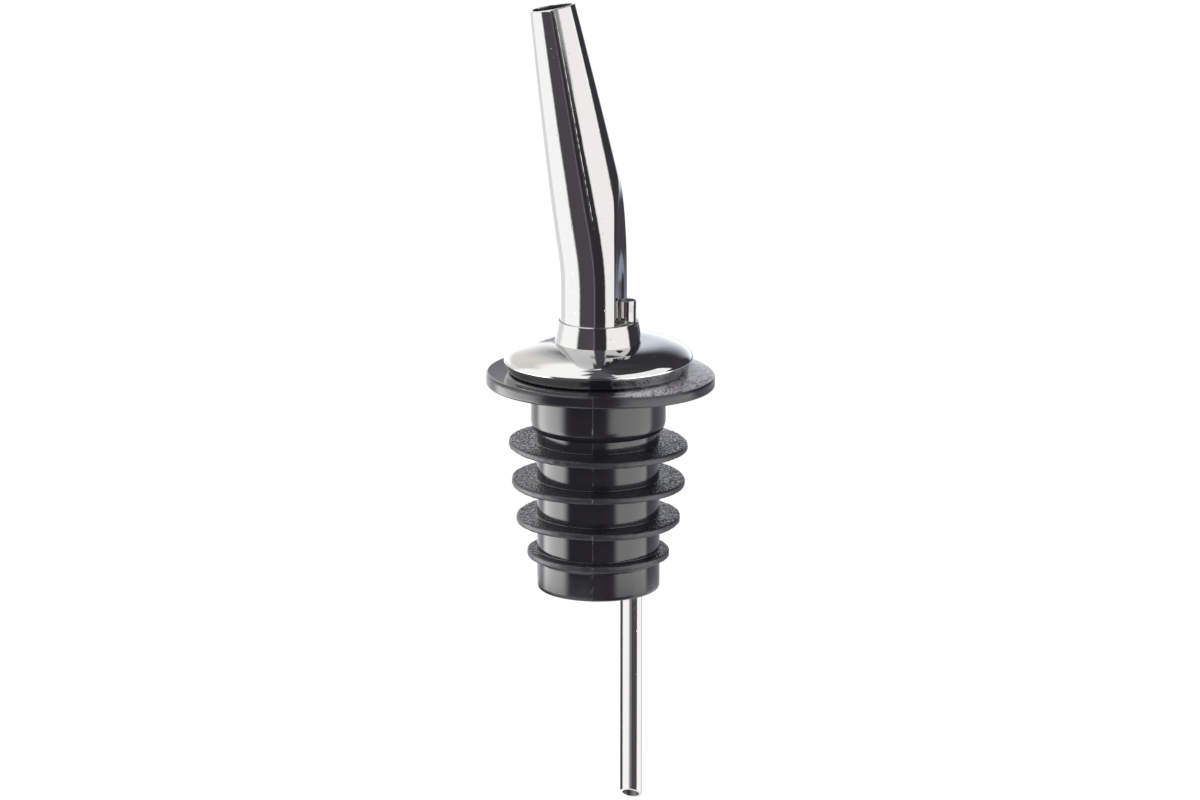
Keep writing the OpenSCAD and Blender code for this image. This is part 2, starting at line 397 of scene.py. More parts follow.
# %% Beat the skirt a little out of true
COLLAR_WAVER = 0.035
COLLAR_WAVES = 2.2
COLLAR_WAVE_MM = 2
PUNCH_ANGLES = [math.radians(-101.5), math.radians(-54.5)]
PUNCH_R = 7.3
PUNCH_W = 0.45
PUNCH_DEPTH = 0.26
DOME_TILT = 0.017
TILT_RUN = 4
CROWN_SLACK = 0.01


def beaten(point):
    """Where a point of the perfect spinning lies: the collar wavers, and the dome is marked and leans."""
    x, y, z = point
    if z > CROWN_Z - CROWN_SLACK:
        angle = math.atan2(y, x)
        around = (COLLAR_WAVES * math.cos(angle), COLLAR_WAVES * math.sin(angle), z / COLLAR_WAVE_MM)
        waver = noise.noise(around)
        grow = 1 + COLLAR_WAVER * waver * (z - CROWN_Z) / FLARE_H / collar_r
        return (x * grow, y * grow, z)
    for angle in PUNCH_ANGLES:
        away = math.hypot(x - PUNCH_R * math.cos(angle), y - PUNCH_R * math.sin(angle))
        z -= PUNCH_DEPTH * math.exp(-(away / PUNCH_W) ** 2)
    across = x * math.cos(CAMERA_AZIMUTH) + y * math.sin(CAMERA_AZIMUTH)
    above_seat = ease((z - SEAT_Z) / (RIM_Z - SEAT_Z))
    off_collar = ease((math.hypot(x, y) - flare_foot_r) / TILT_RUN)
    return (x, y, z + DOME_TILT * across * above_seat * off_collar)


skirt_rings = turned(filled_in(skirt_outline, SKIRT_STEP), even_angles)
skirt_rings = [[beaten(point) for point in ring] for ring in skirt_rings]
skirt = skinned("skirt_spinning", skirt_rings, "head", "skirt")

# %% [markdown]
# ## The spout
# The spout is a tube drawn to a taper and bent once. One side of its foot was pressed flat, with a shallow
# groove in the flat, to make room for the breather tube. A curve with a bevel could give the taper but not
# the flat, so the rings are worked out: each is a circle that a soft minimum trims at the flat. The tube was
# rolled from sheet, and a fine bead of weld runs along its front.

# %% Shape the spout's rings
SPOUT_FOOT_R = 5.35
SPOUT_TIP_R = 3.25
SPOUT_WALL = 0.45
SPOUT_LEAN = math.radians(10.3)
BEND_Z = 13.6
BEND_R = 40
TAPER_L = 32.5
TAPER_BULGE = 1.25
FLAT_ROUND = 0.45
STUB_R = 1.25
STUB_Z = 12.0
SOLDER_GAP = 0.04
GROOVE_T = 0.45
GROOVE_W = 2.1
GROOVE_Z = 14.2
GROOVE_RUN = 4.6
GROOVE_LEAST = 0.01
SPOUT_SIDES = 160
SPOUT_STEP = 0.3
SPOUT_WAVER = 0.012
SPOUT_WAVES = 1.6
SPOUT_WAVE_MM = 5
SPOUT_WAVER_RUN = 2
WELD_TURN = CAMERA_AZIMUTH - math.radians(86.3)
WELD_W = 0.09
WELD_H = 0.018
WELD_STEP = math.radians(0.6)
WELD_LINES = 5
WELD_REACH = 4
WELD_MM = 0.5
WELD_LEVEL = 1.2
WELD_VARY = 1.2
WELD_DRIFT_SEED = 5
WELD_Z = 20
WELD_RUN = 4
stub_x = COLLAR_BORE_R - SOLDER_GAP - STUB_R
groove_x = stub_x - STUB_R - SOLDER_GAP
spout_foot_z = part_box("spout")[0].z / MM
upright_l = BEND_Z - spout_foot_z
bend_l = BEND_R * SPOUT_LEAN
spout_l = upright_l + bend_l + TAPER_L


def off_weld_line(turn):
    """The angle from the weld to a turn, between minus and plus half a circle."""
    return math.remainder(turn - WELD_TURN, 2 * math.pi)


# Even steps all round, with finer ones in place of those that fall on the weld
spout_turns = [2 * math.pi * k / SPOUT_SIDES for k in range(SPOUT_SIDES)]
spout_turns = [turn for turn in spout_turns if abs(off_weld_line(turn)) > (WELD_LINES + 1) * WELD_STEP]
spout_turns += [(WELD_TURN + k * WELD_STEP) % (2 * math.pi) for k in range(-WELD_LINES, WELD_LINES + 1)]
spout_turns.sort()


def soft_min(a, b, width):
    """The smaller of two numbers, with the corner between them rounded over a width."""
    h = max(width - abs(a - b), 0) / width
    return min(a, b) - h * h * width / 4


def spout_centre(s):
    """The lean, and the X and Z of the centre line, at a length s from the foot."""
    lean = SPOUT_LEAN * min(max((s - upright_l) / bend_l, 0), 1)
    high = max(s - upright_l - bend_l, 0)
    x = -BEND_R * (1 - math.cos(lean)) - high * math.sin(lean)
    z = spout_foot_z + min(s, upright_l) + BEND_R * math.sin(lean) + high * math.cos(lean)
    return lean, x, z


def flat_side(v, along):
    """How far out the flat side lies. The groove in it narrows to a point where it fades out."""
    across = max(1 - v * v / (GROOVE_W * GROOVE_W * max(along, GROOVE_LEAST)), 0)
    return groove_x + GROOVE_T * (1 - across * along)


def spout_ring(s, wall):
    """One ring of the spout at a length s from the foot, a wall's thickness in from the outside."""
    lean, x, z = spout_centre(s)
    taper = (max(s - upright_l - bend_l, 0) / TAPER_L) ** TAPER_BULGE
    round_r = SPOUT_FOOT_R - (SPOUT_FOOT_R - SPOUT_TIP_R) * taper - wall
    along = 1 - ease((z - GROOVE_Z) / GROOVE_RUN)
    points = []
    for turn in spout_turns:
        waver = noise.noise((SPOUT_WAVES * math.cos(turn), SPOUT_WAVES * math.sin(turn), s / SPOUT_WAVE_MM))
        r = round_r + SPOUT_WAVER * waver * ease((z - COLLAR_TOP) / SPOUT_WAVER_RUN)
        off_weld = off_weld_line(turn) * round_r / WELD_W
        if wall == 0 and abs(off_weld) < WELD_REACH:
            bead = WELD_H * ease((z - WELD_Z) / WELD_RUN)
            bead *= WELD_LEVEL + WELD_VARY * noise.noise((0, 0, s / WELD_MM))
            r += bead * math.exp(-(off_weld - noise.noise((WELD_DRIFT_SEED, 0, s / WELD_MM))) ** 2)
        v = r * math.sin(turn)
        u = soft_min(r * math.cos(turn), flat_side(v, along) - x - wall, FLAT_ROUND)
        points.append((x + u * math.cos(lean), v, z + u * math.sin(lean)))
    return points


# %% Skin the spout inside and out
LIP_ROUND = 0.12
LIP_STEPS = 6
spout_rows = math.ceil(spout_l / SPOUT_STEP)
spout_stations = [spout_l * i / spout_rows for i in range(spout_rows)]
lip_turns = [math.radians(90 * i / LIP_STEPS) for i in range(LIP_STEPS + 1)]
lip_places = [(spout_l - LIP_ROUND * (1 - math.sin(a)), LIP_ROUND * (1 - math.cos(a))) for a in lip_turns]
outer_lip = [spout_ring(s, inward) for s, inward in lip_places]
inner_lip = [spout_ring(s, SPOUT_WALL - inward) for s, inward in reversed(lip_places)]
spout_outside = [spout_ring(s, 0) for s in spout_stations] + outer_lip + inner_lip
spout_inside = [spout_ring(s, SPOUT_WALL) for s in reversed(spout_stations)]
spout = skinned("spout_tube", spout_outside + spout_inside, "head", "spout")

# %% [markdown]
# ## The breather tube
# Air runs back into the bottle through a long thin tube. It is necked down to a stub beside the spout, and
# its lower end is cut on a slant so that a drop can't hang across it and block the air.

# %% Skin the breather tube
BREATHER_R = 1.575
BREATHER_WALL = 0.38
BREATHER_STEP = 0.75
SWING_GAP = 0.4
STEP_Z = 0.5
CUT_ANGLE = math.radians(36)
CUT_TURN = math.radians(-90)
CUT_FADE = 6
RIM_WALL = 0.14
RIM_BEVEL = 0.8
STUB_FLARE = 0.02
STUB_FLARE_H = 2
BREATHER_SIDES = 72
breather_x = SHANK_BORE_R - SWING_GAP - BREATHER_R
breather_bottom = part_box("breather_tube")[0].z / MM
stub_foot_z = CROWN_Z - 2 * SHEET_T
cut_z = breather_bottom + BREATHER_R * math.tan(CUT_ANGLE)


def breather_ring(z, wall):
    """One ring of the tube at a height z. The rings lean more and more towards the slanting cut."""
    step = ease((z - STEP_Z) / (stub_foot_z - STEP_Z))
    x = breather_x + (stub_x - breather_x) * step
    flared = STUB_FLARE * ease((z - STUB_Z + STUB_FLARE_H) / STUB_FLARE_H)
    x += flared
    r = BREATHER_R + (STUB_R - BREATHER_R) * step + flared - wall
    slant = math.tan(CUT_ANGLE) * max(1 - (z - cut_z) / CUT_FADE, 0)
    points = []
    for k in range(BREATHER_SIDES):
        turn = 2 * math.pi * k / BREATHER_SIDES
        tilted_z = z + r * math.cos(turn - CUT_TURN) * slant
        points.append((x + r * math.cos(turn), r * math.sin(turn), tilted_z))
    return points


breather_rows = math.ceil((STUB_Z - cut_z) / BREATHER_STEP)
breather_stations = [cut_z + (STUB_Z - cut_z) * i / breather_rows for i in range(breather_rows + 1)]
breather_outside = [breather_ring(z, 0) for z in breather_stations] + [breather_ring(STUB_Z, RIM_WALL)]
breather_inside = [breather_ring(STUB_Z - RIM_BEVEL, BREATHER_WALL)]
breather_inside += [breather_ring(z, BREATHER_WALL) for z in reversed(breather_stations[:-1])]
breather = skinned("breather_pipe", breather_outside + breather_inside, "head", "breather_tube")

# %% [markdown]
# ## The solder
# Tin solder was run into the two gaps between collar, flattened spout and breather stub. Solder wets metal,
# so its top is a hollow meniscus that climbs each wall, no two fillets are alike, and a thin web of it has
# crept up the narrow gap beside the stub.

# %% Fill the gaps with solder
SOLDER_DROP = 0.15
SOLDER_H = 1.5
SOLDER_DIP = 0.3
DIP_LEVEL = 0.7
DIP_VARY = 0.6
SOLDER_ALONG = 24
SOLDER_ACROSS = 10
SOLDER_START = math.radians(7)
SOLDER_END_GAP = math.radians(1)
WEB_FOOT_Z = 8.6
WEB_TOP_Z = 11.6
WEB_REACH = 1.2
WEB_INNER = 0.2
WEB_NARROWS = 0.5
WEB_STUB_SHARE = 0.75
WEB_HOLLOW = 0.4
WEB_ROWS = 10
WEB_STEPS = 8
solder_top = COLLAR_TOP - SOLDER_DROP
solder_r = COLLAR_BORE_R - SOLDER_GAP / 2
solder_flat = groove_x + GROOVE_T + SOLDER_GAP
stub_clear = STUB_R + SOLDER_GAP


def solder_inner(angle):
    """How far from the axis the solder starts: behind the stub, or else at the spout's flat side."""
    flat = solder_flat / math.cos(angle)
    across = stub_x * math.sin(angle)
    if abs(across) >= stub_clear:
        return flat
    return max(flat, stub_x * math.cos(angle) + math.sqrt(stub_clear ** 2 - across ** 2))


def solder_layer(side, top):
    """A grid of points over one crescent, at the solder's hollow top or at its flat bottom."""
    end = math.acos(solder_flat / solder_r) - SOLDER_END_GAP
    rows = []
    for i in range(SOLDER_ALONG + 1):
        angle = SOLDER_START + (end - SOLDER_START) * i / SOLDER_ALONG
        inner = min(solder_inner(angle), solder_r - SOLDER_GAP)
        row = []
        for j in range(SOLDER_ACROSS + 1):
            t = j / SOLDER_ACROSS
            r = inner + (solder_r - inner) * t
            x, y = r * math.cos(angle), side * r * math.sin(angle)
            dip = SOLDER_DIP * 4 * t * (1 - t) * (DIP_LEVEL + DIP_VARY * noise.noise((x, y, side)))
            row.append(Vector((x, y, solder_top - dip if top else solder_top - SOLDER_H)) * MM)
        rows.append(row)
    return rows


def web_row(side, rise):
    """The outline of the solder drawn up between the flat side and the stub, from its foot to its top."""
    z = WEB_FOOT_Z + (WEB_TOP_Z - WEB_FOOT_Z) * rise
    reach = WEB_REACH * (1 - WEB_NARROWS * rise ** 2)
    lean = math.asin(WEB_STUB_SHARE * reach / stub_clear)
    flat_end = Vector((flat_side(reach, 1) + SOLDER_GAP, reach))
    stub_end = Vector((stub_x - stub_clear * math.cos(lean), stub_clear * math.sin(lean)))
    stub_mid = Vector((stub_x - stub_clear * math.cos(lean / 2), stub_clear * math.sin(lean / 2)))
    inner = Vector((groove_x + SOLDER_GAP / 2, WEB_INNER))
    hollow = flat_end.lerp(stub_end, 0.5).lerp(inner, WEB_HOLLOW)
    steps = [k / WEB_STEPS for k in range(WEB_STEPS + 1)]
    outline = [flat_end.lerp(hollow, t).lerp(hollow.lerp(stub_end, t), t) for t in steps]
    return [Vector((x, side * y, z)) * MM for x, y in outline + [stub_mid, inner]]


solder_border = [(i, 0) for i in range(SOLDER_ALONG + 1)]
solder_border += [(SOLDER_ALONG, j) for j in range(1, SOLDER_ACROSS + 1)]
solder_border += [(i, SOLDER_ACROSS) for i in range(SOLDER_ALONG - 1, -1, -1)]
solder_border += [(0, j) for j in range(SOLDER_ACROSS - 1, 0, -1)]
solder_mesh = bpy.data.meshes.new("collar_solder_fillets")
solder_work = bmesh.new()
for solder_side in (1, -1):
    layers = [
        [[solder_work.verts.new(point) for point in row] for row in solder_layer(solder_side, top)]
        for top in (True, False)
    ]
    for rows in layers:
        for i in range(SOLDER_ALONG):
            for j in range(SOLDER_ACROSS):
                solder_work.faces.new((rows[i][j], rows[i + 1][j], rows[i + 1][j + 1], rows[i][j + 1]))
    over, under = layers
    for (i, j), (next_i, next_j) in zip(solder_border, solder_border[1:] + solder_border[:1]):
        solder_work.faces.new((over[i][j], over[next_i][next_j], under[next_i][next_j], under[i][j]))
for solder_side in (1, -1):
    rows = []
    for i in range(WEB_ROWS + 1):
        rows.append([solder_work.verts.new(point) for point in web_row(solder_side, i / WEB_ROWS)])
    for row, next_row in zip(rows, rows[1:]):
        for j in range(len(row)):
            solder_work.faces.new((row[j - 1], row[j], next_row[j], next_row[j - 1]))
    solder_work.faces.new(rows[0])
    solder_work.faces.new(rows[-1])
bmesh.ops.recalc_face_normals(solder_work, faces=solder_work.faces)
solder_work.to_mesh(solder_mesh)
solder_work.free()
solder = dressed("collar_solder_fillets", solder_mesh, "head", "collar_solder")

# %% [markdown]
# ## Finishes
# A finish starts from what the real surface is and how it was made. Colours are written as sRGB hex, as a
# colour picker shows them, and turned into the linear values that Blender mixes with. One small function
# adds any node, with its settings and links, so that a material reads as a list of what it is made of.


# %% Helpers for colours and nodes
def linear(hex_colour):
    """The linear colour, with full alpha, of an sRGB hex colour."""
    channels = [int(hex_colour[i:i + 2], 16) / 255 for i in (1, 3, 5)]
    return tuple(c / 12.92 if c <= 0.04045 else ((c + 0.055) / 1.055) ** 2.4 for c in channels) + (1,)


def add(tree, kind, inputs=(), **settings):
    """A new node. An input is a value, or the output of another node that is to be linked to it."""
    node = tree.nodes.new(kind)
    for name, value in settings.items():
        setattr(node, name, value)
    for socket, value in dict(inputs).items():
        if isinstance(value, bpy.types.NodeSocket):
            tree.links.new(value, node.inputs[socket])
        else:
            node.inputs[socket].default_value = value
    return node


def new_finish(name):
    """An empty material and its tree of nodes."""
    finish = bpy.data.materials.new(name)
    finish.use_nodes = True
    finish.node_tree.nodes.clear()
    return finish, finish.node_tree


def line_inside(piece, outside, inside, finish):
    """Gives a tube's inner faces a finish of their own. They come after its outer rings."""
    piece.data.materials.append(finish)
    first = (len(outside) - 1) * len(outside[0])
    last = first + len(inside) * len(outside[0])
    for face in piece.data.polygons[first:last]:
        face.material_index = 1


# %% [markdown]
# ### Bright chrome plate
# The metal is brass, plated with nickel and a thin layer of chrome. Chrome is hard and polished, so it
# mirrors the room with sharp edges, but it gives back little more than half of the light. Fine polishing
# marks and pits break the edges of what it mirrors.

# %% Bright chrome plate on brass
PEEL_MM = 0.6
PEEL_DEPTH = 0.004
PIT_MM = 1.4
PIT_DEPTH = 0.012
# Polishing marks are finer than a pixel, so they are drawn coarser than they are, to show at all.
MARK_MM = 0.5


def chrome_plate():
    finish, tree = new_finish("bright_chrome_plate")
    place = add(tree, "ShaderNodeTexCoord")
    peel = add(tree, "ShaderNodeTexNoise", {
        "Vector": place.outputs["Object"], "Scale": 1 / (PEEL_MM * MM), "Detail": 2,
    })
    pits = add(tree, "ShaderNodeTexVoronoi", {"Vector": place.outputs["Object"], "Scale": 1 / (PIT_MM * MM)})
    pit_edge = add(tree, "ShaderNodeMapRange", {
        "Value": pits.outputs["Distance"], "From Min": 0.02, "From Max": 0.09,
    })
    marks = add(tree, "ShaderNodeTexNoise", {
        "Vector": place.outputs["Object"], "Scale": 1 / (MARK_MM * MM), "Detail": 4, "Roughness": 0.7,
    })
    waver = add(tree, "ShaderNodeBump", {
        "Height": peel.outputs["Fac"], "Strength": 1, "Distance": PEEL_DEPTH * MM,
    })
    pitted = add(tree, "ShaderNodeBump", {
        "Height": pit_edge.outputs["Result"], "Strength": 1, "Distance": PIT_DEPTH * MM,
        "Normal": waver.outputs["Normal"],
    })
    polish = add(tree, "ShaderNodeMapRange", {
        "Value": marks.outputs["Fac"], "From Min": 0.35, "From Max": 0.75, "To Min": 0.03, "To Max": 0.09,
    })
    tint = add(tree, "ShaderNodeMixRGB", {
        "Fac": marks.outputs["Fac"], "Color1": linear("#bababa"), "Color2": linear("#c2c2c2"),
    })
    shader = add(tree, "ShaderNodeBsdfPrincipled", {
        "Base Color": tint.outputs["Color"], "Metallic": 1, "Roughness": polish.outputs["Result"],
        "Normal": pitted.outputs["Normal"],
    })
    add(tree, "ShaderNodeOutputMaterial", {"Surface": shader.outputs["BSDF"]})
    return finish


chrome = chrome_plate()
for piece in (spout, skirt, breather):
    piece.data.materials.append(chrome)
print("plated:", chrome.name)

# %% [markdown]
# The plating bath hardly reaches the inside of a narrow tube. There the brass keeps a thin dull film of
# nickel, and the drawing die's lines still show along it. Its colour is made far darker than nickel, as
# painted shade inside the tubes. This nickel, and the steel and solder further on, are made alike: one
# pattern of noise steers how rough, how pale and how raised the metal is.

# %% Dull nickel inside the tubes, darkened as painted shade
# The real lines are finer than a pixel, so they are drawn coarser than they are.
DIE_LINE_MM = 0.2
DIE_LINE_STRETCH = 0.03


def patterned_metal(name, pattern_mm, stretch, roughness, colours, relief=None):
    """A metal that follows one pattern, drawn out along Z. Relief is a strength and a depth in mm."""
    finish, tree = new_finish(name)
    place = add(tree, "ShaderNodeTexCoord")
    along = add(tree, "ShaderNodeMapping", {"Vector": place.outputs["Object"], "Scale": (1, 1, stretch)})
    pattern = add(tree, "ShaderNodeTexNoise", {
        "Vector": along.outputs["Vector"], "Scale": 1 / (pattern_mm * MM), "Detail": 3,
    })
    rough = add(tree, "ShaderNodeMapRange", {
        "Value": pattern.outputs["Fac"], "To Min": roughness[0], "To Max": roughness[1],
    })
    colour = add(tree, "ShaderNodeMixRGB", {
        "Fac": pattern.outputs["Fac"], "Color1": linear(colours[0]), "Color2": linear(colours[1]),
    })
    shader = add(tree, "ShaderNodeBsdfPrincipled", {
        "Base Color": colour.outputs["Color"], "Metallic": 1, "Roughness": rough.outputs["Result"],
    })
    if relief:
        raised = add(tree, "ShaderNodeBump", {
            "Height": pattern.outputs["Fac"], "Strength": relief[0], "Distance": relief[1] * MM,
        })
        tree.links.new(raised.outputs["Normal"], shader.inputs["Normal"])
    add(tree, "ShaderNodeOutputMaterial", {"Surface": shader.outputs["BSDF"]})
    return finish


# The two colours are far darker than nickel: painted shade for the inside of the tubes.
nickel = patterned_metal(
    "nickel_film_painted_shade", DIE_LINE_MM, DIE_LINE_STRETCH, roughness=(0.3, 0.55), colours=("#56535a", "#77747c"),
)
line_inside(spout, spout_outside, spout_inside, nickel)
line_inside(breather, breather_outside, breather_inside, nickel)
print("lined:", nickel.name)

# %% [markdown]
# ### Moulded black plastic
# The stopper is moulded from soft black polyethylene. The mould was polished where the body slides in and
# spark-eroded on the fins, so the walls are glossy, the flats of the fins have a fine matt grain and their
# rims are satin. The neck and the foot were polished less, and the flange's top was polished most.

# %% Moulded black polyethylene
# Spark-eroded grain is about 0.05 mm. It is drawn four times as coarse, to show at all.
GRAIN_MM = 0.2
GRAIN_STRETCH = 0.3
GRAIN_DEPTH = 0.12
SMEAR_MM = 4.0
SMEAR_ROUGH = 0.1
SCUFF_MM = 1.6
SCUFF_STRETCH = 0.45
SCUFF_DEPTH = 0.08
# How far from the scuffs' middle value the painted pale sheen fades in, leaving thin dark lines.
SHEEN_GAP_W = 0.04
# Where one finish passes into the next: three heights, a distance from the axis, and one along X, in mm
NECK_EDGE = (-7.2, -6.4)
FOOT_EDGE = (-25.2, -26.4)
FLANGE_EDGE = (-0.2, 0.4)
RIM_EDGE = (9.5, 9.8)
SCUFF_EDGE = (5, 9)
WALL_ROUGH = 0.11
NECK_MORE = 0.07
FOOT_MORE = 0.05
RIM_ROUGH = 0.42
FLANGE_RIM_ROUGH = 0.2
GRAIN_SMOOTH = 0.15
GRAIN_ROUGH = 0.5
FLANGE_FLAT_ROUGH = 0.06
SCUFF_MORE = 0.2


def rise_between(tree, value, edge):
    """0 before an edge and 1 after it. The edge is two lengths in mm, and the value is in metres."""
    rise = add(tree, "ShaderNodeMapRange", {
        "Value": value, "From Min": edge[0] * MM, "From Max": edge[1] * MM,
    })
    return rise.outputs["Result"]


def moulded_plastic():
    finish, tree = new_finish("moulded_black_polyethylene")
    place = add(tree, "ShaderNodeTexCoord")
    facing = add(tree, "ShaderNodeNewGeometry")
    up = add(tree, "ShaderNodeSeparateXYZ", {"Vector": facing.outputs["Normal"]})
    spot = add(tree, "ShaderNodeSeparateXYZ", {"Vector": place.outputs["Object"]})
    level = spot.outputs["Z"]

    # Where on the moulding a point is, each as a number from 0 to 1
    steep = add(tree, "ShaderNodeMath", {0: up.outputs["Z"]}, operation="ABSOLUTE")
    flat = add(tree, "ShaderNodeMapRange", {
        "Value": steep.outputs["Value"], "From Min": 0.5, "From Max": 0.85,
    })
    neck = rise_between(tree, level, NECK_EDGE)
    foot = rise_between(tree, level, FOOT_EDGE)
    flange = rise_between(tree, level, FLANGE_EDGE)
    outward = add(tree, "ShaderNodeVectorMath", {
        0: place.outputs["Object"], 1: (1, 1, 0),
    }, operation="MULTIPLY")
    radius = add(tree, "ShaderNodeVectorMath", {0: outward.outputs["Vector"]}, operation="LENGTH")
    rim_rough = add(tree, "ShaderNodeMapRange", {
        "Value": flange, "To Min": RIM_ROUGH, "To Max": FLANGE_RIM_ROUGH,
    })
    rim = add(tree, "ShaderNodeMapRange", {
        "Value": radius.outputs["Value"], "From Min": RIM_EDGE[0] * MM, "From Max": RIM_EDGE[1] * MM,
        "To Max": rim_rough.outputs["Result"],
    })

    # How rough it is there
    smear = add(tree, "ShaderNodeTexNoise", {
        "Vector": place.outputs["Object"], "Scale": 1 / (SMEAR_MM * MM), "Detail": 4,
    })
    wall = add(tree, "ShaderNodeMath", {
        0: smear.outputs["Fac"], 1: SMEAR_ROUGH, 2: WALL_ROUGH - SMEAR_ROUGH / 2,
    }, operation="MULTIPLY_ADD")
    wall_neck = add(tree, "ShaderNodeMath", {
        0: neck, 1: NECK_MORE, 2: wall.outputs["Value"],
    }, operation="MULTIPLY_ADD")
    wall_foot = add(tree, "ShaderNodeMath", {
        0: foot, 1: FOOT_MORE, 2: wall_neck.outputs["Value"],
    }, operation="MULTIPLY_ADD")
    walls = add(tree, "ShaderNodeMath", {
        0: wall_foot.outputs["Value"], 1: rim.outputs["Result"],
    }, operation="MAXIMUM")
    drawn = add(tree, "ShaderNodeMapping", {
        "Vector": place.outputs["Object"], "Scale": (1, GRAIN_STRETCH, 1),
    })
    grain = add(tree, "ShaderNodeTexNoise", {
        "Vector": drawn.outputs["Vector"], "Scale": 1 / (GRAIN_MM * MM), "Detail": 2, "Roughness": 0.5,
    })
    speckle = add(tree, "ShaderNodeMapRange", {
        "Value": grain.outputs["Fac"], "From Min": 0.4, "From Max": 0.64,
        "To Min": GRAIN_ROUGH, "To Max": GRAIN_SMOOTH,
    })
    flats = add(tree, "ShaderNodeMapRange", {
        "Value": flange, "To Min": speckle.outputs["Result"], "To Max": FLANGE_FLAT_ROUGH,
    })
    rough = add(tree, "ShaderNodeMix", {
        "Factor": flat.outputs["Result"], "A": walls.outputs["Value"], "B": flats.outputs["Result"],
    })

    # The grain of the fins, and scuffs on one side of the flange, where a painted sheen also goes
    fin_flat = add(tree, "ShaderNodeMath", {
        0: flat.outputs["Result"], 1: flange,
    }, operation="SUBTRACT", use_clamp=True)
    grain_share = add(tree, "ShaderNodeMapRange", {
        "Value": fin_flat.outputs["Value"], "To Min": 0.01, "To Max": 1,
    })
    grained = add(tree, "ShaderNodeBump", {
        "Height": grain.outputs["Fac"], "Strength": grain_share.outputs["Result"],
        "Distance": GRAIN_DEPTH * MM,
    })
    stretched = add(tree, "ShaderNodeMapping", {
        "Vector": place.outputs["Object"], "Scale": (1, SCUFF_STRETCH, 1),
    })
    scuff = add(tree, "ShaderNodeTexNoise", {
        "Vector": stretched.outputs["Vector"], "Scale": 1 / (SCUFF_MM * MM), "Detail": 3, "Distortion": 1.5,
    })
    flange_flat = add(tree, "ShaderNodeMath", {
        0: flat.outputs["Result"], 1: flange,
    }, operation="MULTIPLY")
    scuff_and_sheen_share = add(tree, "ShaderNodeMath", {
        0: rise_between(tree, spot.outputs["X"], SCUFF_EDGE), 1: flange_flat.outputs["Value"],
    }, operation="MULTIPLY")
    scuff_rough = add(tree, "ShaderNodeMath", {
        0: scuff_and_sheen_share.outputs["Value"], 1: SCUFF_MORE, 2: rough.outputs["Result"],
    }, operation="MULTIPLY_ADD")
    scuffed = add(tree, "ShaderNodeBump", {
        "Height": scuff.outputs["Fac"], "Strength": scuff_and_sheen_share.outputs["Value"],
        "Distance": SCUFF_DEPTH * MM, "Normal": grained.outputs["Normal"],
    })

    # Black, a little uneven. On the scuffed side of the flange's top it is painted pale grey, partly for
    # worn scuffs and mostly as a painted highlight, the bright sheen of that side, with thin dark lines left
    # where the scuffs' pattern crosses its middle value
    off_sheen_gap = add(tree, "ShaderNodeMath", {0: scuff.outputs["Fac"], 1: 0.5}, operation="SUBTRACT")
    sheen_gap_line = add(tree, "ShaderNodeMath", {0: off_sheen_gap.outputs["Value"]}, operation="ABSOLUTE")
    painted_sheen = add(tree, "ShaderNodeMapRange", {
        "Value": sheen_gap_line.outputs["Value"], "From Max": SHEEN_GAP_W,
        "To Max": scuff_and_sheen_share.outputs["Value"],
    })
    black = add(tree, "ShaderNodeMixRGB", {
        "Fac": smear.outputs["Fac"], "Color1": linear("#151319"), "Color2": linear("#201e24"),
    })
    colour = add(tree, "ShaderNodeMixRGB", {
        "Fac": painted_sheen.outputs["Result"], "Color1": black.outputs["Color"], "Color2": linear("#8f8d93"),
    })
    shader = add(tree, "ShaderNodeBsdfPrincipled", {
        "Base Color": colour.outputs["Color"], "Roughness": scuff_rough.outputs["Value"], "IOR": 1.5,
        "Normal": scuffed.outputs["Normal"],
    })
    add(tree, "ShaderNodeOutputMaterial", {"Surface": shader.outputs["BSDF"]})
    return finish


stopper.data.materials.append(moulded_plastic())
print("moulded:", stopper.data.materials[0].name)

# %% [markdown]
# ### Drawn steel and tin solder
# The shank was drawn through a die and never polished, which leaves long fine lines along it. The solder
# froze from liquid, so it is smooth but dull, with a slightly lumpy skin.

# %% Drawn steel and tin solder
# The real lines are finer than a pixel, so they are drawn coarser than they are.
DRAW_LINE_MM = 0.12
DRAW_LINE_STRETCH = 0.02
DRAW_LINE_DEPTH = 0.01
SOLDER_LUMP_MM = 0.7
SOLDER_LUMP_DEPTH = 0.1
steel = patterned_metal(
    "drawn_steel", DRAW_LINE_MM, DRAW_LINE_STRETCH,
    roughness=(0.2, 0.42), colours=("#b4b1ab", "#cecbc5"), relief=(0.15, DRAW_LINE_DEPTH),
)
tin = patterned_metal(
    "tin_solder", SOLDER_LUMP_MM, 1,
    roughness=(0.25, 0.5), colours=("#a5a4a1", "#c4c3c0"), relief=(0.4, SOLDER_LUMP_DEPTH),
)
shank.data.materials.append(steel)
solder.data.materials.append(tin)
print("shank:", steel.name, "solder:", tin.name)

# %% [markdown]
# ## The studio
# Chrome has almost no colour of its own: what it looks like is what stands round it. So the pourer gets what
# a product photographer builds, a white tent with dark and grey cloths hung in it. Only mirrored rays see
# the tent. The lamps do the plain lighting, and the floor is a white background that still takes a shadow.

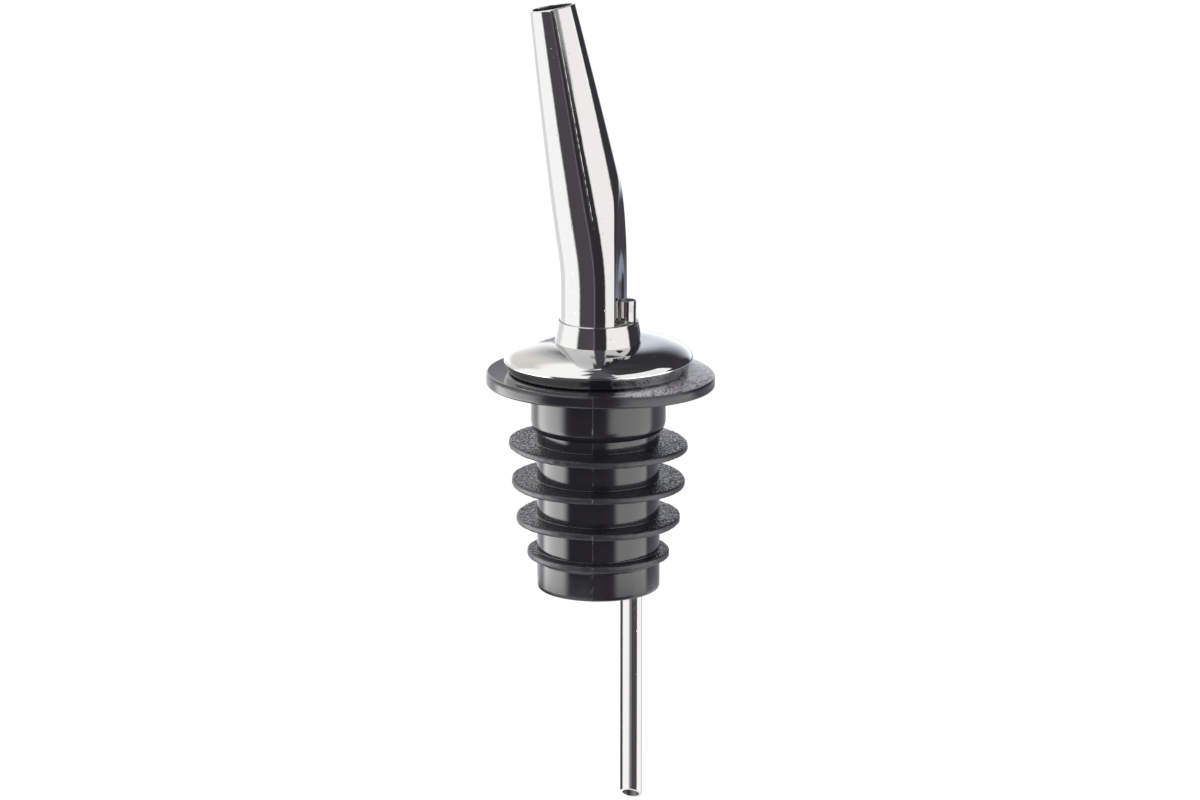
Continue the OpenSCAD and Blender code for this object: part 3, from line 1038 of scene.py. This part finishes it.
# %% List the cloths in the tent
# Azimuth is in degrees from the camera, right is +, and elevation is above the horizon. Each cloth has a
# colour, a low and high azimuth, the softness of those edges, and the same three numbers for elevation.
# The colours are what chrome should show, and the level makes up for the light that chrome swallows.
TENT_LEVEL = 1.9
TENT_WALL = "#f6f6f5"
CLOTHS = [
    ("right_softbox", "#efedeb", 20.5, 92, 3, -130, 41, 16),
    ("right_low_flag", "#3f3d40", 20.5, 110, 3, -130, -14, 4),
    ("left_edge", "#d1d1d3", -154, -119, 12, -130, 2, 6),
    ("left_fold", "#cfccc7", -166, -112, 14, 14, 49, 12),
    ("left_low_fold", "#dad8d4", -136, -112, 12, 0, 14, 8),
    ("back_left_shade", "#525258", -220, -168, 22, 20, 50, 18),
    ("back_left_core", "#57565b", -220, -173, 3, 27, 50, 8),
    ("back_right_dark", "#302f32", 100, 220, 6, -130, 130, 10),
    ("back_right_sheet", "#e6ecf6", 148, 220, 18, -130, 16, 34),
    ("roof", "#39383b", -16, 220, 12, 58, 130, 12),
    ("right_roof", "#39383b", 24, 112, 8, 46, 130, 5),
    ("roof_top", "#4c4a4e", -220, 220, 10, 80, 130, 8),
    ("low_back_flag", "#38363a", 120, 220, 8, -130, -5, 5),
    ("low_back_glow", "#7b8090", 124, 174, 6, -19, -10.5, 3),
    ("back_strip", "#84878f", -220, -174, 4, 11.5, 14.4, 1),
    ("high_door", "#545358", -30, 20.5, 8, 52, 130, 16),
    ("door", "#545358", -13, 20.5, 5, 0, 130, 8),
    ("front_flag", "#484548", -58, 20.5, 8, -130, 12, 6),
    ("grey_glow", "#959495", 10, 25, 10, 12.5, 24, 4),
    ("black_strip", "#2e2c2f", -8, 20.5, 3, -130, 11.5, 4),
    ("seam", "#69676c", -12.6, -10.4, 1.2, -130, 14, 8),
]
FLAG_AZIMUTH = 90
FLAG_SLANT = 2.4
FLAG_SLANT_FROM = 9
FLAG_SLANT_RUN = 6


def band(value, low, high, soft):
    """1 between low and high and 0 outside, with edges that are soft degrees wide."""
    return ease((value - low) / soft + 0.5) * ease((high - value) / soft + 0.5)


def tent_colour(azimuth, elevation):
    """What hangs in one direction. The flag behind the right softbox hangs aslant."""
    flag_edge = FLAG_AZIMUTH + FLAG_SLANT * min(max(elevation - FLAG_SLANT_FROM, 0), FLAG_SLANT_RUN)
    hung = CLOTHS + [
        ("back_flag", "#343235", flag_edge, 124, 7, -130, 130, 10),
        ("back_flag_side", "#343235", 122, 142, 8, -10, 130, 3),
        ("ground", "#77757a", -220, 220, 10, -130, -40, 16),
    ]
    colour = Vector(linear(TENT_WALL))
    for _, cloth, low_az, high_az, soft_az, low_el, high_el, soft_el in hung:
        share = band(azimuth, low_az, high_az, soft_az) * band(elevation, low_el, high_el, soft_el)
        if share:
            colour = colour.lerp(Vector(linear(cloth)), share)
    return colour


# %% Sew the tent
TENT_R = 0.45
TENT_TURNS = 480
TENT_ROWS = 120


def tent_point(azimuth, elevation, radius):
    """The place at a distance from the origin, in a direction that is given as the cloths' are."""
    turn = CAMERA_AZIMUTH + math.radians(azimuth)
    rise = math.radians(elevation)
    return Vector((
        math.sin(turn) * math.cos(rise), -math.cos(turn) * math.cos(rise), math.sin(rise),
    )) * radius


def glow_sheet(name, rows):
    """A sheet that only mirrored rays see, from rows of points with the colour that each glows in."""
    turns = len(rows[0])
    points = [point for row in rows for point, _ in row]
    faces = [
        (i * turns + j, i * turns + (j + 1) % turns, (i + 1) * turns + (j + 1) % turns, (i + 1) * turns + j)
        for i in range(len(rows) - 1) for j in range(turns)
    ]
    mesh = bpy.data.meshes.new(name)
    mesh.from_pydata(points, [], faces)
    glow = mesh.color_attributes.new("glow", "FLOAT_COLOR", "POINT")
    glow.data.foreach_set("color", [value for row in rows for _, colour in row for value in colour])
    sheet = bpy.data.objects.new(name, mesh)
    scene.collection.objects.link(sheet)
    for sight in ("visible_camera", "visible_diffuse", "visible_shadow", "visible_volume_scatter"):
        setattr(sheet, sight, False)
    finish, tree = new_finish(name + "_cloth")
    finish.cycles.emission_sampling = "NONE"
    shade = add(tree, "ShaderNodeAttribute", attribute_name="glow")
    light = add(tree, "ShaderNodeEmission", {"Color": shade.outputs["Color"], "Strength": TENT_LEVEL})
    add(tree, "ShaderNodeOutputMaterial", {"Surface": light.outputs["Emission"]})
    mesh.materials.append(finish)
    print(name, "has", len(faces), "faces")


tent_azimuths = [-180 + 360 * turn / TENT_TURNS for turn in range(TENT_TURNS)]
tent_rows = []
for row in range(TENT_ROWS + 1):
    rise = -90 + 180 * row / TENT_ROWS
    tent_rows.append([
        (tent_point(azimuth, rise, TENT_R), tent_colour(azimuth, rise)) for azimuth in tent_azimuths
    ])
glow_sheet("white_tent", tent_rows)

# %% [markdown]
# Dome, tube and plastic mirror the same directions, but the photograph shows other bands in each. So two
# small round screens stand inside the tent, close to the pieces that need bands of their own: one round the
# breather tube, closed below by a white card for the tube's cut end, and one round the stopper.

# %% Stand a low screen round the breather tube
# Lengths are in metres. Each flag has a low and high azimuth, the softness of its edges, and how dark it is.
WELL_R = 0.07
WELL_LOW = -0.1
WELL_HIGH = -0.0476
WELL_STEPS = 180
WELL_FLAGS = [(-150, -94, 4, 1), (-14, 30, 24, 0.85), (8, 66, 6, 1), (130, 210, 16, 0.6)]
WELL_PAPER = "#f6f5f2"
WELL_DARK = "#474548"
CARD_R = 0.001


def well_colour(azimuth):
    """White paper, with the darkest of the flags that hang in one direction."""
    dark = max(share * band(azimuth, low, high, soft) for low, high, soft, share in WELL_FLAGS)
    return Vector(linear(WELL_PAPER)).lerp(Vector(linear(WELL_DARK)), dark)


def round_row(radius, height, colour_at):
    """A level ring of points for a glowing sheet, with the colour that a function gives each azimuth."""
    return [
        (tent_point(azimuth, 0, radius) + Vector((0, 0, height)), colour_at(azimuth))
        for azimuth in well_azimuths
    ]


well_azimuths = [-180 + 360 * turn / WELL_STEPS for turn in range(WELL_STEPS)]
glow_sheet("low_screen", [
    round_row(CARD_R, WELL_LOW, lambda azimuth: Vector(linear(WELL_PAPER))),
    round_row(WELL_R, WELL_LOW, well_colour),
    round_row(WELL_R, WELL_HIGH, well_colour),
])

# %% Stand a second screen round the stopper
# Each row is a height in metres and the azimuth where the right lamp starts.
SCREEN_ROWS = [(-0.0474, 31), (-0.0246, 31), (-0.0236, 17), (-0.0146, 17), (-0.0138, 27), (-0.0115, 27)]
SCREEN_FRONT = "#5a585c"


def screen_colour(azimuth, right_edge):
    """Plastic mirrors far less than chrome, so the lamps on this screen are brighter than white paper."""
    colour = Vector(linear(SCREEN_FRONT))
    for cloth, level, low_az, high_az, soft_az in (
        ("#f1efed", 2.1, right_edge, 97, 12),
        ("#8e8e96", 1, 100, 220, 12),
        ("#d0d0d2", 1, -220, -58, 10),
        ("#ffffff", 3.5, -116, -60, 18),
    ):
        colour = colour.lerp(Vector(linear(cloth)) * level, band(azimuth, low_az, high_az, soft_az))
    return colour


glow_sheet("stopper_screen", [
    round_row(WELL_R, height, lambda azimuth: screen_colour(azimuth, right_edge))
    for height, right_edge in SCREEN_ROWS
])

# %% Lay the floor and light the world
FLOOR_Z = -0.48
FLOOR_SIZE = 12.0
PAPER_GLOW = 0.78
AMBIENT = 0.44
half_floor = FLOOR_SIZE / 2
floor_corners = [(x * half_floor, y * half_floor, FLOOR_Z) for x, y in ((-1, -1), (1, -1), (1, 1), (-1, 1))]
floor_mesh = bpy.data.meshes.new("pale_floor")
floor_mesh.from_pydata(floor_corners, [], [(0, 1, 2, 3)])
floor = bpy.data.objects.new("pale_floor", floor_mesh)
scene.collection.objects.link(floor)


def seen_ray(tree):
    """1 for rays from the camera, and for rays mirrored or let through by the object."""
    path = add(tree, "ShaderNodeLightPath")
    mirrored = add(tree, "ShaderNodeMath", {
        0: path.outputs["Is Glossy Ray"], 1: path.outputs["Is Transmission Ray"],
    }, operation="MAXIMUM")
    return add(tree, "ShaderNodeMath", {
        0: path.outputs["Is Camera Ray"], 1: mirrored.outputs["Value"],
    }, operation="MAXIMUM").outputs["Value"]


paper, paper_tree = new_finish("white_paper")
paper_glow = add(paper_tree, "ShaderNodeMath", {
    0: seen_ray(paper_tree), 1: PAPER_GLOW,
}, operation="MULTIPLY")
paper_light = add(paper_tree, "ShaderNodeEmission", {"Strength": paper_glow.outputs["Value"]})
paper_matt = add(paper_tree, "ShaderNodeBsdfDiffuse", {"Color": linear("#c8c8c8")})
paper_sum = add(paper_tree, "ShaderNodeAddShader", {
    0: paper_light.outputs["Emission"], 1: paper_matt.outputs["BSDF"],
})
add(paper_tree, "ShaderNodeOutputMaterial", {"Surface": paper_sum.outputs["Shader"]})
floor_mesh.materials.append(paper)

world = bpy.data.worlds.new("white_studio")
scene.world = world
world.use_nodes = True
world.node_tree.nodes.clear()
world_level = add(world.node_tree, "ShaderNodeMath", {
    0: seen_ray(world.node_tree), 1: 1 - AMBIENT, 2: AMBIENT,
}, operation="MULTIPLY_ADD")
sky = add(world.node_tree, "ShaderNodeBackground", {
    "Color": linear("#ffffff"), "Strength": world_level.outputs["Value"],
})
add(world.node_tree, "ShaderNodeOutputWorld", {"Surface": sky.outputs["Background"]})
print("floor at", FLOOR_Z, "m")

# %% Hang the softboxes
# Each has an azimuth and elevation as the cloths have, then distance and size in metres, and watts.
SOFTBOXES = [
    ("left_softbox", -100, 5, 0.4, 0.5, 3.0),
    ("right_softbox", 60, 5, 0.4, 0.4, 1.6),
    ("top_softbox", -120, 60, 0.4, 0.4, 1.5),
    ("front_fill", 5, 2, 0.4, 0.4, 0.8),
]
for box_name, box_azimuth, box_elevation, box_distance, box_size, box_power in SOFTBOXES:
    box_data = bpy.data.lights.new(box_name, "AREA")
    box_data.shape = "SQUARE"
    box_data.size = box_size
    box_data.energy = box_power
    box = bpy.data.objects.new(box_name, box_data)
    scene.collection.objects.link(box)
    box.location = tent_point(box_azimuth, box_elevation, box_distance)
    box.rotation_euler = box.location.to_track_quat("Z", "Y").to_euler()
    box.visible_camera = False
    box.visible_glossy = False
scene.view_settings.view_transform = "Standard"
print("softboxes:", [box[0] for box in SOFTBOXES])
